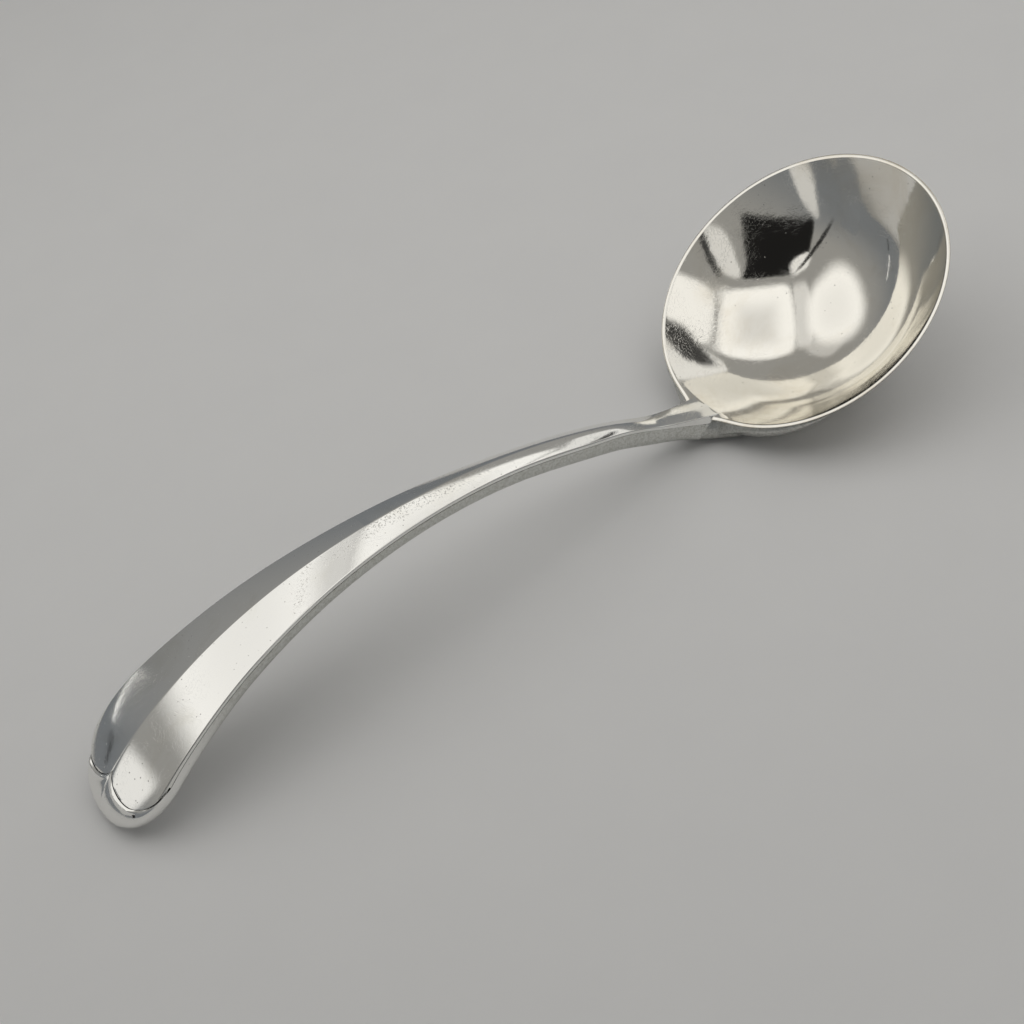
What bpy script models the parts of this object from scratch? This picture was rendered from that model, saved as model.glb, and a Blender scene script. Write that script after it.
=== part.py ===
"""Serving ladle: a raised bowl, a forged heel and a hollow handle struck in two halves."""
import math

import bmesh
import bpy
import numpy as np
from mathutils import Matrix, Vector

# All sizes are in millimetres. The rim lies in the local XY plane and the handle leaves along -X.
MM = 0.001
FIT_GAP = 0.3

# Bowl
RIM_RADIUS = 47.0
BOWL_SHEET = 1.0
FLOOR_RADIUS = 50.0
FLOOR_ANGLE = 43.0
WALL_RADIUS = 160.0
RIM_EASE = 0.2
LIP_REACH = 2.4
LIP_SPREAD = 7.5
LIP_FADE = 7.0
BOWL_STEPS = 64
FLOOR_POINTS = 8
WALL_POINTS = 4

# Line of the handle's ridge, from the neck to the tip of the nose
NECK_OUT = 2.7
NECK_UP = 0.6
HANDLE_REACH = 189.2
HANDLE_RISE = 88.5
NECK_ANGLE = 59.5
NOSE_ANGLE = -17.0
NECK_PULL = 0.283
NOSE_PULL = 0.392

# Sections of the handle: place along the ridge, half width, fall of the facets, depth of the back
SECTIONS = (
    (0.000, 5.2, 0.3, 4.6),
    (0.080, 3.9, 0.5, 5.4),
    (0.190, 4.6, 1.7, 4.8),
    (0.315, 5.1, 1.9, 4.4),
    (0.432, 6.9, 2.0, 4.3),
    (0.550, 9.4, 2.3, 4.5),
    (0.730, 14.4, 2.6, 5.0),
    (0.900, 19.2, 2.5, 5.8),
    (1.000, 19.4, 2.3, 5.8),
)
HANDLE_SHEET = 0.8
EDGE_ROLL = 0.35
LOBE_ROLL = 0.7
BACK_ROUND = 3.0
WALL_SHARE = 0.25

# End of the handle, measured back from the tip of the nose
NOSE_DEPTH = 9.6
LOBE_LENGTH = 12.8
CLEFT_DEPTH = 5.0
LOBE_CREST = 0.44
END_ROUND = 2.2
LOBE_START = 38.0
LAND_LOW = 0.84
LAND_HIGH = 0.68
VENT_DIAMETER = 0.9
VENT_ACROSS = 0.70
VENT_SHARE = 0.32

# Heel: pad spread over the bowl's outside, root under the stem and tang inside it
HEEL_SPAN = 54.0
HEEL_DROP = 15.5
HEEL_END_DROP = 6.0
HEEL_THICK = 6.0
HEEL_SIDE_THICK = 4.5
HEEL_TOP_SHARE = 0.3
HEEL_FULL_AT = 0.4
HEEL_NECK_SPREAD = 15.0
HEEL_EDGE = 0.4
HEEL_TOP = 0.8
ROOT_LENGTH = 9.0
ROOT_END_DEPTH = 1.6
TANG_LENGTH = 31.6
TANG_BURIED = 2.2
TANG_TIP = 0.72

# Worn flats where the ladle lies on a table
REST_FLAT = 0.2

SIDE_ROWS = 26
LOBE_ROWS = 14


def wall_angle():
    """Slope of the wall at the rim, in radians."""
    start = math.radians(FLOOR_ANGLE)
    across = RIM_RADIUS - FLOOR_RADIUS * math.sin(start)
    return math.asin(math.sin(start) + across / WALL_RADIUS)


def floor_centre():
    """Height of the centre of the rounded floor above the rim."""
    start = math.radians(FLOOR_ANGLE)
    wall = WALL_RADIUS * (math.cos(start) - math.cos(wall_angle()))
    return FLOOR_RADIUS * math.cos(start) - wall


def bowl_point(angle, offset):
    """Point (r, z) of the bowl's outside, moved outward by offset, where the slope is angle."""
    start = math.radians(FLOOR_ANGLE)
    centre = floor_centre()
    if angle <= start:
        radius = FLOOR_RADIUS + offset
        return radius * math.sin(angle), centre - radius * math.cos(angle)
    shift = WALL_RADIUS - FLOOR_RADIUS
    radius = WALL_RADIUS + offset
    r = radius * math.sin(angle) - shift * math.sin(start)
    z = centre + shift * math.cos(start) - radius * math.cos(angle)
    return r, z


def bowl_line(offset, top):
    """Points of the offset outside from the axis up to the height top."""
    start = math.radians(FLOOR_ANGLE)
    shift = WALL_RADIUS - FLOOR_RADIUS
    rise = floor_centre() + shift * math.cos(start) - top
    end = math.acos(rise / (WALL_RADIUS + offset))
    floor = np.linspace(0.0, start, FLOOR_POINTS)
    wall = np.linspace(start, end, WALL_POINTS + 1)[1:]
    return [bowl_point(angle, offset) for angle in np.concatenate((floor, wall))]


def bowl_drop(length):
    """Slope angle at an arc length measured down the outside from the rim."""
    start = math.radians(FLOOR_ANGLE)
    wall = WALL_RADIUS * (wall_angle() - start)
    if length <= wall:
        return wall_angle() - length / WALL_RADIUS
    return start - (length - wall) / FLOOR_RADIUS


def pull_lip(x, y, z):
    """Moves a point near the neck outward, so that the rim has a small lip under the stem."""
    radius = math.hypot(x, y)
    if radius < 1.0:
        return x, y, z
    turn = math.degrees(math.atan2(y, -x)) / LIP_SPREAD
    fade = max(0.0, 1.0 - max(0.0, -z) / LIP_FADE) ** 2
    grow = 1.0 + LIP_REACH * math.exp(-turn * turn) * fade / radius
    return x * grow, y * grow, z


def ridge_points():
    """Samples of the ridge: arc length, distance out from the axis, height."""
    start = np.array((RIM_RADIUS + NECK_OUT, NECK_UP))
    end = start + np.array((HANDLE_REACH, HANDLE_RISE))
    span = math.hypot(HANDLE_REACH, HANDLE_RISE)
    neck = math.radians(NECK_ANGLE)
    nose = math.radians(NOSE_ANGLE)
    near = start + span * NECK_PULL * np.array((math.cos(neck), math.sin(neck)))
    far = end - span * NOSE_PULL * np.array((math.cos(nose), math.sin(nose)))
    t = np.linspace(0.0, 1.0, 801)[:, None]
    line = (1 - t) ** 3 * start + 3 * (1 - t) ** 2 * t * near
    line = line + 3 * (1 - t) * t * t * far + t ** 3 * end
    steps = np.linalg.norm(np.diff(line, axis=0), axis=1)
    return np.concatenate(((0.0,), np.cumsum(steps))), line


ARC, RIDGE = ridge_points()
LENGTH = float(ARC[-1])
LOBE_TIP = LENGTH - NOSE_DEPTH
SHOULDER = LOBE_TIP - LOBE_LENGTH


def on_ridge(s):
    """Position and unit tangent of the ridge at arc length s, straight on beyond its ends."""
    inside = min(max(s, 0.0), LENGTH)
    stops = (max(inside - 0.5, 0.0), inside, min(inside + 0.5, LENGTH))
    low, point, high = (np.array([np.interp(stop, ARC, RIDGE[:, k]) for k in (0, 1)]) for stop in stops)
    tangent = (high - low) / np.linalg.norm(high - low)
    return point + tangent * (s - inside), tangent


def section(s, column):
    """One size of the handle's section at arc length s, on a smooth curve through SECTIONS."""
    table = np.array(SECTIONS)
    x = table[:, 0] * LENGTH
    y = table[:, column]
    slope = np.gradient(y, x)
    at = min(max(s, 0.0), LENGTH)
    i = int(min(np.searchsorted(x, at, side="right") - 1, len(x) - 2))
    h = x[i + 1] - x[i]
    t = (at - x[i]) / h
    rise = y[i] * (1 + 2 * t) * (1 - t) ** 2 + y[i + 1] * t * t * (3 - 2 * t)
    return rise + h * (slope[i] * t * (1 - t) ** 2 - slope[i + 1] * t * t * (1 - t))


def half_width(s):
    return section(s, 1)


def facet_fall(s):
    return section(s, 2)


def back_depth(s):
    return section(s, 3)


def seam_level(s):
    """Depth of the back's upper edge below the ridge, along the sides."""
    return facet_fall(s) + EDGE_ROLL + HANDLE_SHEET + FIT_GAP


def place(s, y, z):
    """Local position of a point given along the ridge, across it and square to it."""
    point, tangent = on_ridge(s)
    return Vector((-(point[0] - z * tangent[1]), y, point[1] + z * tangent[0])) * MM


def lobe_end(u):
    """Arc length at which the front's strip u ends: round lobes with a cleft between them."""
    if u >= LOBE_CREST:
        out = (u - LOBE_CREST) / (1.0 - LOBE_CREST)
        return SHOULDER + LOBE_LENGTH * max(0.0, 1.0 - out ** END_ROUND) ** (1.0 / END_ROUND)
    inward = 1.0 - u / LOBE_CREST
    return LOBE_TIP - CLEFT_DEPTH * (1.0 - math.sqrt(max(0.0, 1.0 - inward * inward)))


def nose_end(u):
    """Arc length of the nose's widest outline at the fraction u of the half width."""
    return SHOULDER + (LENGTH - SHOULDER) * max(0.0, 1.0 - u ** END_ROUND) ** (1.0 / END_ROUND)


def front_top(s, u):
    """Height of the front's surface against the ridge."""
    start = LENGTH - LOBE_START
    along = min(max((s - start) / max(lobe_end(u) - start, 1.0), 0.0), 1.0)
    return -facet_fall(s) * u - EDGE_ROLL * u ** 6 - LOBE_ROLL * along ** 3


def new_object(name, bm, collection):
    """Turns a bmesh into an object of the collection."""
    mesh = bpy.data.meshes.new(name)
    bm.to_mesh(mesh)
    bm.free()
    obj = bpy.data.objects.new(name, mesh)
    collection.objects.link(obj)
    return obj


def add_grid(bm, points, up):
    """Makes faces over rows of points, facing the side of up at the first face."""
    rows = [[bm.verts.new(p) for p in row] for row in points]
    faces = []
    for a, b in zip(rows[:-1], rows[1:]):
        for i in range(len(a) - 1):
            faces.append(bm.faces.new((a[i], a[i + 1], b[i + 1], b[i])))
    bmesh.ops.remove_doubles(bm, verts=bm.verts, dist=0.00001)
    faces = [face for face in faces if face.is_valid]
    faces[len(faces) // 4].normal_update()
    if faces[len(faces) // 4].normal.dot(up) < 0.0:
        bmesh.ops.reverse_faces(bm, faces=faces)


def add_loft(bm, rings):
    """Makes a closed solid from rings of equal count."""
    loops = [[bm.verts.new(p) for p in ring] for ring in rings]
    count = len(loops[0])
    for a, b in zip(loops[:-1], loops[1:]):
        for i in range(count):
            j = (i + 1) % count
            bm.faces.new((a[i], a[j], b[j], b[i]))
    bm.faces.new(loops[0])
    bm.faces.new(loops[-1])
    bmesh.ops.recalc_face_normals(bm, faces=bm.faces)


def add_boolean(obj, other, operation):
    """Adds an exact Boolean with another object."""
    cut = obj.modifiers.new(operation.title() + " " + other.name, "BOOLEAN")
    cut.operation = operation
    cut.solver = "EXACT"
    cut.object = other


def spun(name, profile, collection, grow=0.0):
    """Turns a half profile of (r, z) points round the bowl's axis, pulls out the lip and swells it."""
    bm = bmesh.new()
    verts = [bm.verts.new((r * MM, 0.0, z * MM)) for r, z in profile]
    edges = [bm.edges.new(pair) for pair in zip(verts[:-1], verts[1:])]
    bmesh.ops.spin(
        bm, geom=verts + edges, axis=(0, 0, 1), cent=(0, 0, 0),
        steps=BOWL_STEPS, angle=math.tau, use_merge=True,
    )
    bmesh.ops.remove_doubles(bm, verts=bm.verts, dist=0.000001)
    for vert in bm.verts:
        vert.co = Vector(pull_lip(*(vert.co / MM))) * MM
    bmesh.ops.recalc_face_normals(bm, faces=bm.faces)
    bmesh.ops.triangulate(bm, faces=bm.faces, quad_method="SHORT_EDGE")
    bm.normal_update()
    for vert in bm.verts:
        vert.co += vert.normal * grow * MM
    return new_object(name, bm, collection)


def build_bowl(collection):
    """The raised sheet, from the middle of the inside over the rim to the middle of the outside."""
    inside = bowl_line(-BOWL_SHEET, -RIM_EASE)
    outside = bowl_line(0.0, -RIM_EASE)
    inner_edge = bowl_line(-BOWL_SHEET, 0.0)[-1][0]
    outer_edge = bowl_line(0.0, 0.0)[-1][0]
    rim = [(inner_edge + RIM_EASE, 0.0), (outer_edge - RIM_EASE, 0.0)]
    return spun("bowl", inside + rim + outside[::-1], collection)


def build_bowl_clearance(collection):
    """The space that the heel has to leave free: the bowl, its inside and the fit gap."""
    outside = bowl_line(0.0, -RIM_EASE)
    edge = outside[-1][0]
    above = 0.6 * RIM_RADIUS
    return spun("bowl_clearance", outside + [(edge, above), (0.0, above)], collection, FIT_GAP)


def build_front(collection):
    """The struck front: a ridge, two facets and two lobes."""
    columns = (0.0, 0.15, 0.3, LOBE_CREST, 0.6, 0.75, 0.87, 0.95, 1.0)
    start = LENGTH - LOBE_START
    points = []
    for s in np.linspace(0.0, start, SIDE_ROWS):
        points.append([place(s, u * half_width(s), front_top(s, u)) for u in columns])
    for t in np.linspace(0.0, 1.0, LOBE_ROWS)[1:]:
        row = []
        for u in columns:
            s = start + (lobe_end(u) - start) * t
            row.append(place(s, u * half_width(s), front_top(s, u)))
        points.append(row)
    bm = bmesh.new()
    add_grid(bm, points, Vector((0, 0, 1)))
    front = new_object("handle_front", bm, collection)
    finish_shell(front)
    return front


def finish_shell(obj):
    """Mirrors a half sheet across the middle of the handle and gives it its thickness."""
    mirror = obj.modifiers.new("Other half", "MIRROR")
    mirror.use_axis = (False, True, False)
    mirror.use_clip = True
    mirror.merge_threshold = 0.00001
    sheet = obj.modifiers.new("Sheet", "SOLIDIFY")
    sheet.thickness = HANDLE_SHEET * MM
    sheet.offset = -1.0


def back_row(s_edge, y_edge, z_edge, s_wide, y_wide, z_wide, s_keel):
    """Points of the back from its upper edge, over its widest line, to its keel."""
    row = []
    for phi in np.radians((0.0, 30.0, 60.0)):
        reach = math.sin(phi)
        height = math.cos(phi)
        s = s_edge + (s_wide - s_edge) * reach
        y = y_edge + (y_wide - y_edge) * reach
        row.append(place(s, y, z_wide + (z_edge - z_wide) * height))
    z_keel = -seam_level(s_keel) - back_depth(s_keel)
    for psi in np.radians((0.0, 20.0, 38.0, 54.0, 68.0, 80.0, 90.0)):
        left = max(math.cos(psi), 0.0) ** (2.0 / BACK_ROUND)
        left = 0.0 if psi > 1.57 else left
        down = math.sin(psi) ** (2.0 / BACK_ROUND)
        s = s_keel + (s_wide - s_keel) * left
        row.append(place(s, y_wide * left, z_wide + (z_keel - z_wide) * down))
    return row


def wide_level(s):
    """Height of the back's widest line."""
    return -seam_level(s) - WALL_SHARE * back_depth(s)


def build_back(collection, vent):
    """The struck back: side walls, rounded underside and the nose that wraps the lobes."""
    points = []
    for s in np.linspace(0.0, SHOULDER, SIDE_ROWS + 4):
        width = half_width(s)
        points.append(back_row(s, width, -seam_level(s), s, width, wide_level(s), s))
    for k in np.linspace(0.0, 1.0, LOBE_ROWS + 2)[1:]:
        u = 1.0 - 0.5 * (1.0 - math.cos(math.pi * k))
        u = 0.0 if k == 1.0 else u
        raised = min(max((LAND_LOW - u) / (LAND_LOW - LAND_HIGH), 0.0), 1.0)
        raised = raised * raised * (3.0 - 2.0 * raised)
        s_edge = lobe_end(u)
        z_high = front_top(s_edge, u)
        z_low = z_high - HANDLE_SHEET - FIT_GAP
        s_edge += FIT_GAP * raised * 1.6
        s_wide = nose_end(u)
        y_edge = u * half_width(s_edge)
        y_wide = u * half_width(s_wide)
        z_edge = z_low + (z_high - z_low) * raised
        points.append(back_row(s_edge, y_edge, z_edge, s_wide, y_wide, wide_level(SHOULDER), SHOULDER))
    bm = bmesh.new()
    add_grid(bm, points, Vector((0, -1, -1)))
    bmesh.ops.recalc_face_normals(bm, faces=bm.faces)
    keel = max(bm.faces, key=lambda face: face.calc_area())
    if keel.normal.dot(place(SHOULDER / 2, 0.0, -3.0) - keel.calc_center_median()) > 0.0:
        bmesh.ops.reverse_faces(bm, faces=bm.faces)
    back = new_object("handle_back", bm, collection)
    finish_shell(back)
    add_boolean(back, vent, "DIFFERENCE")
    return back


def build_vent(collection):
    """A short rod through the nose, just under the edge of one lobe."""
    u = VENT_ACROSS
    s = lobe_end(u) + VENT_SHARE * (nose_end(u) - lobe_end(u))
    across = -u * half_width(s)
    inner = place(s - 3.0, across, front_top(lobe_end(u), u) - 5.0)
    outer = place(s + 3.0, across * 1.05, front_top(lobe_end(u), u) + 2.0)
    turned = (outer - inner).to_track_quat("Z", "Y").to_matrix().to_4x4()
    radius = 0.5 * VENT_DIAMETER * MM
    bm = bmesh.new()
    bmesh.ops.create_cone(
        bm, cap_ends=True, segments=12, radius1=radius, radius2=radius,
        depth=(outer - inner).length, matrix=Matrix.Translation((inner + outer) / 2) @ turned,
    )
    return new_object("vent_cutter", bm, collection)


def heel_thickness(turn, length):
    """Thickness of the heel's pad by angle from the stem and arc length down the bowl."""
    share = abs(turn) / HEEL_SPAN
    side = HEEL_SIDE_THICK * (1.0 - share * share)
    neck = HEEL_THICK * math.exp(-((turn / HEEL_NECK_SPREAD) ** 2))
    reach = HEEL_END_DROP + (HEEL_DROP - HEEL_END_DROP) * math.cos(0.5 * math.pi * share) ** 2
    down = min(max((length - HEEL_TOP) / (reach - HEEL_TOP), 0.0), 1.0)
    rise = math.sin(0.5 * math.pi * min(down / HEEL_FULL_AT, 1.0))
    swell = HEEL_TOP_SHARE + (1.0 - HEEL_TOP_SHARE) * rise
    return HEEL_EDGE + max(side * swell, neck) * (1.0 - down * down), reach


def build_heel_pad(collection):
    """The pad: a skin of changing thickness over the bowl's outside."""
    turns = np.linspace(-HEEL_SPAN, HEEL_SPAN, 25)
    outer = []
    inner = []
    for turn in turns:
        reach = heel_thickness(turn, 0.0)[1]
        rows = ([], [])
        for length in np.linspace(HEEL_TOP, reach, 8):
            thick = heel_thickness(turn, length)[0]
            for row, offset in zip(rows, (FIT_GAP + thick, -0.5 * BOWL_SHEET)):
                r, z = bowl_point(bowl_drop(length), offset)
                angle = math.radians(turn)
                row.append(Vector((-r * math.cos(angle), r * math.sin(angle), z)) * MM)
        outer.append(rows[0])
        inner.append(rows[1])
    bm = bmesh.new()
    add_loft(bm, [a + b[::-1] for a, b in zip(outer, inner)])
    return new_object("heel", bm, collection)


def section_ring(s, depth, inset):
    """Outline of the whole stem at s, drawn in by inset, as a ring of points."""
    width = half_width(s) - inset
    fall = facet_fall(s) + EDGE_ROLL
    low = -(depth - inset)
    high = -fall - inset
    shoulder = 0.4 * high + 0.6 * low
    half = [(0.0, -inset), (0.5 * width, -inset - 0.5 * fall), (width, high), (width, shoulder)]
    half += [(0.86 * width, 0.2 * shoulder + 0.8 * low), (0.5 * width, low)]
    ring = half + [(-y, z) for y, z in half[:0:-1]]
    return [place(s, y, z) for y, z in ring]


def build_root(collection):
    """The stub that carries the stem's outline down onto the pad."""
    full = seam_level(0.0) + back_depth(0.0)
    rings = []
    for t in np.linspace(0.0, 1.0, 6):
        s = -FIT_GAP - ROOT_LENGTH * t
        rings.append(section_ring(s, full + (ROOT_END_DEPTH - full) * t * t, 0.0))
    bm = bmesh.new()
    add_loft(bm, rings)
    return new_object("heel_root", bm, collection)


def build_tang(collection):
    """The tongue of the heel inside the hollow stem."""
    inset = HANDLE_SHEET + 1.4 * FIT_GAP
    rings = []
    for t in np.linspace(0.0, 1.0, 9):
        s = (TANG_LENGTH + TANG_BURIED) * t - TANG_BURIED
        depth = seam_level(s) + back_depth(s)
        taper = 1.0 + (TANG_TIP - 1.0) * t
        ring = section_ring(s, depth, inset)
        middle = place(s, 0.0, -0.5 * depth)
        rings.append([middle + (p - middle) * taper for p in ring])
    bm = bmesh.new()
    add_loft(bm, rings)
    return new_object("heel_tang", bm, collection)


def make_material(name, colour, roughness, metallic):
    """A plain Principled material."""
    material = bpy.data.materials.new(name)
    material.use_nodes = True
    shader = material.node_tree.nodes["Principled BSDF"]
    shader.inputs["Base Color"].default_value = (*colour, 1.0)
    shader.inputs["Roughness"].default_value = roughness
    shader.inputs["Metallic"].default_value = metallic
    return material


def world_points(obj):
    """Final vertices of an object in the scene."""
    graph = bpy.context.evaluated_depsgraph_get()
    done = obj.evaluated_get(graph)
    mesh = done.to_mesh()
    points = np.empty(len(mesh.vertices) * 3)
    mesh.vertices.foreach_get("co", points)
    done.to_mesh_clear()
    frame = np.array(obj.matrix_world)
    return points.reshape(-1, 3) @ frame[:3, :3].T + frame[:3, 3]


def resting_tilt(bowl_points, handle_points):
    """Angle about Y at which the bowl and the handle's nose stand on one level."""
    low = 0.0
    high = math.radians(60.0)
    for _ in range(60):
        middle = 0.5 * (low + high)
        up = np.array((math.sin(middle), 0.0, math.cos(middle)))
        if (handle_points @ up).min() > (bowl_points @ up).min():
            low = middle
        else:
            high = middle
    return middle


def main():
    for obj in list(bpy.data.objects):
        bpy.data.objects.remove(obj, do_unlink=True)
    parts = bpy.data.collections.new("ladle")
    cutters = bpy.data.collections.new("ladle_cutters")
    bpy.context.scene.collection.children.link(parts)
    bpy.context.scene.collection.children.link(cutters)

    bowl = build_bowl(parts)
    clearance = build_bowl_clearance(cutters)
    front = build_front(parts)
    back = build_back(parts, build_vent(cutters))
    heel = build_heel_pad(parts)
    add_boolean(heel, build_root(cutters), "UNION")
    add_boolean(heel, clearance, "DIFFERENCE")
    add_boolean(heel, build_tang(cutters), "UNION")

    # Lay the ladle down on the bowl and the nose, then centre it over the origin
    tilt = resting_tilt(world_points(bowl), world_points(back))
    turned = Matrix.Rotation(-tilt, 4, "Y")
    everything = list(parts.objects) + list(cutters.objects)
    for obj in everything:
        obj.matrix_world = turned
    bpy.context.view_layer.update()
    lowest = min(world_points(obj)[:, 2].min() for obj in (bowl, back)) + REST_FLAT * MM
    bm = bmesh.new()
    bmesh.ops.create_cube(bm, size=1.0)
    rest = new_object("rest_cutter", bm, cutters)
    slab = Matrix.Diagonal((4.0 * LENGTH * MM, 4.0 * RIM_RADIUS * MM, 0.02, 1.0))
    rest.data.transform(Matrix.Translation((0.0, 0.0, lowest - 0.01)) @ slab)
    for obj in (bowl, back):
        add_boolean(obj, rest, "DIFFERENCE")
    bpy.context.view_layer.update()
    ends = np.concatenate([world_points(obj) for obj in parts.objects])
    shift = Vector((-0.5 * (ends[:, 0].min() + ends[:, 0].max()), 0.0, -lowest))
    for obj in everything:
        obj.matrix_world = Matrix.Translation(shift) @ turned
    rest.matrix_world = Matrix.Translation(shift)

    for obj in cutters.objects:
        obj.hide_render = True
        obj.display_type = "WIRE"
    cutters.hide_render = True
    looks = {
        bowl: ("bowl_metal", (0.86, 0.85, 0.81), 0.10),
        heel: ("heel_metal", (0.70, 0.70, 0.67), 0.24),
        front: ("front_metal", (0.84, 0.84, 0.81), 0.14),
        back: ("back_metal", (0.74, 0.74, 0.71), 0.22),
    }
    for obj, (name, colour, roughness) in looks.items():
        obj.data.materials.append(make_material(name, colour, roughness, 1.0))
    bpy.context.view_layer.update()


main()
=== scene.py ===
# %% [markdown]
# # A serving ladle in silver plate
#
# The ladle has four pieces: a raised bowl, a forged heel that holds it, and a hollow handle
# struck in two halves, a ridged front and a rounded back. The CAD model gives each of them its
# size and its place. This lesson builds a finer skin for each piece on the same curves, and
# then spends most of its time on the polish, because a polished piece looks like what it
# reflects: a dent of a tenth of a millimetre shows.

# %% Load the CAD model
import math

import bmesh
import bpy
import numpy as np
from mathutils import Matrix, Vector


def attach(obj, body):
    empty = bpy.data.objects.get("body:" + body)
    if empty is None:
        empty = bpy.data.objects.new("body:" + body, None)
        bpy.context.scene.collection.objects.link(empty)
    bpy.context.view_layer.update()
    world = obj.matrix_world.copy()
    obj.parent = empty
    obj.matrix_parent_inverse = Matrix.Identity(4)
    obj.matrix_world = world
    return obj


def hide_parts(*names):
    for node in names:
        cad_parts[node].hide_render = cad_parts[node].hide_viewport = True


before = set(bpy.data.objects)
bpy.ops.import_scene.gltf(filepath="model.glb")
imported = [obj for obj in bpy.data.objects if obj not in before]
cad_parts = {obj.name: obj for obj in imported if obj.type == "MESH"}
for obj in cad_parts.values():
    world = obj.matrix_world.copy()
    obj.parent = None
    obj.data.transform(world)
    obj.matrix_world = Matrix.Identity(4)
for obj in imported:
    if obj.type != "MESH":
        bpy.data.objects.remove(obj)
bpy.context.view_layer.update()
scene = bpy.context.scene
print("CAD nodes:", sorted(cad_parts))

# %% [markdown]
# ## The camera
#
# A camera can be aimed by eye or solved. Here it was solved: the rim is a circle, so its
# ellipse in the picture gives the direction of the bowl's axis, and the ladle lies level on
# its bowl and its nose, which gives the rest. The result is a place and three directions, and
# these are the columns of the camera's matrix.

# %% Camera
SENSOR = 36.0
FOCAL_PIXELS = 2000.0
PICTURE_PIXELS = 1024.0
CAMERA_AT = Vector((-0.17878, -0.39009, 0.39484))
right = Vector((0.80334, -0.55824, -0.20738))
up = Vector((0.51281, 0.47142, 0.71749))
ahead = Vector((0.30278, 0.68274, -0.66498))
camera_data = bpy.data.cameras.new("camera")
camera_data.sensor_width = SENSOR
camera_data.lens = SENSOR * FOCAL_PIXELS / PICTURE_PIXELS
camera_data.clip_start = 0.01
camera = bpy.data.objects.new("camera", camera_data)
aim = Matrix((right, up, -ahead)).transposed().to_4x4()
camera.matrix_world = Matrix.Translation(CAMERA_AT) @ aim
scene.collection.objects.link(camera)
scene.camera = camera
print("camera looks down by", round(math.degrees(math.asin(-ahead.z)), 1), "degrees")

# %% [markdown]
# ## One frame for all pieces
#
# Each piece is easiest to draw in the bowl's own frame: millimetres, the rim in the XY plane,
# the handle leaving along -X. One matrix then lays the whole ladle down on the table, tilted
# until the bowl and the nose both touch it. Small helpers turn a bmesh into an object and
# settle its modifiers, so that every finished mesh sits at the origin with its place in its
# vertices.

# %% Frame
MM = 0.001
TILT = math.radians(25.7372)
RIM_CENTRE = Vector((0.104621, 0.0, 0.029030))
LAY_DOWN = Matrix.Translation(RIM_CENTRE) @ Matrix.Rotation(-TILT, 4, "Y") @ Matrix.Scale(MM, 4)
print("the rim leans by", round(math.degrees(TILT), 1), "degrees")


# %% Piece helpers
def new_piece(name, bm):
    """Lays a bmesh down on the table and makes it an object."""
    bmesh.ops.transform(bm, matrix=LAY_DOWN, verts=bm.verts)
    mesh = bpy.data.meshes.new(name)
    bm.to_mesh(mesh)
    bm.free()
    piece = bpy.data.objects.new(name, mesh)
    scene.collection.objects.link(piece)
    return piece


def settle(piece, sharp=38.0):
    """Applies the modifiers, shades smooth and keeps edges sharper than the angle crisp."""
    bpy.context.view_layer.update()
    graph = bpy.context.evaluated_depsgraph_get()
    mesh = bpy.data.meshes.new_from_object(piece.evaluated_get(graph))
    old = piece.data
    piece.modifiers.clear()
    piece.data = mesh
    bpy.data.meshes.remove(old)
    mesh.name = piece.name
    mesh.polygons.foreach_set("use_smooth", [True] * len(mesh.polygons))
    mesh.set_sharp_from_angle(angle=math.radians(sharp))
    mesh.calc_loop_triangles()
    print(piece.name, "has", len(mesh.loop_triangles), "triangles")
    return piece


print("piece helpers ready")

# %% [markdown]
# ## The bowl
#
# A bowl like this is raised from one disc of metal on a stake and is nearly a turned form, so
# a spun profile suits it better than a subdivided cage: the curve is exact, and reflections
# run smoothly. The profile is a round floor that passes into a flatter wall. It goes up the
# inside, over the rim and down the outside. Only the small lip at the neck isn't turned. It is
# pulled out of the spun mesh afterwards, with a soft fall-off. A bevel rounds the rim's two
# edges, and the rounding carries the bright line that runs all the way round.

# %% Bowl profile
RIM_RADIUS = 47.0
BOWL_SHEET = 1.0
FLOOR_RADIUS = 50.0
FLOOR_ANGLE = math.radians(43.0)
WALL_RADIUS = 160.0
FLOOR_EDGE = FLOOR_RADIUS * math.sin(FLOOR_ANGLE)
WALL_END = math.asin(math.sin(FLOOR_ANGLE) + (RIM_RADIUS - FLOOR_EDGE) / WALL_RADIUS)
WALL_HEIGHT = WALL_RADIUS * (math.cos(FLOOR_ANGLE) - math.cos(WALL_END))
FLOOR_CENTRE = FLOOR_RADIUS * math.cos(FLOOR_ANGLE) - WALL_HEIGHT
CENTRE_SHIFT = WALL_RADIUS - FLOOR_RADIUS


def bowl_point(slope, offset=0.0):
    """Radius and height of the bowl's outside, moved out by offset, where it has this slope."""
    if slope <= FLOOR_ANGLE:
        radius = FLOOR_RADIUS + offset
        return radius * math.sin(slope), FLOOR_CENTRE - radius * math.cos(slope)
    radius = WALL_RADIUS + offset
    r = radius * math.sin(slope) - CENTRE_SHIFT * math.sin(FLOOR_ANGLE)
    return r, FLOOR_CENTRE + CENTRE_SHIFT * math.cos(FLOOR_ANGLE) - radius * math.cos(slope)


def bowl_line(offset, floor_points=26, wall_points=22, crowd=1.7):
    """The offset outside from the axis up to the rim's plane."""
    top = FLOOR_CENTRE + CENTRE_SHIFT * math.cos(FLOOR_ANGLE)
    end = math.acos(top / (WALL_RADIUS + offset))
    floor = np.linspace(0.0, FLOOR_ANGLE, floor_points)
    wall = FLOOR_ANGLE + (end - FLOOR_ANGLE) * (1.0 - np.linspace(1.0, 0.0, wall_points) ** crowd)
    return [bowl_point(slope, offset) for slope in (*floor, *wall[1:])]


print("the bowl is", round(-bowl_point(0.0, -BOWL_SHEET)[1], 1), "mm deep inside")

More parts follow.
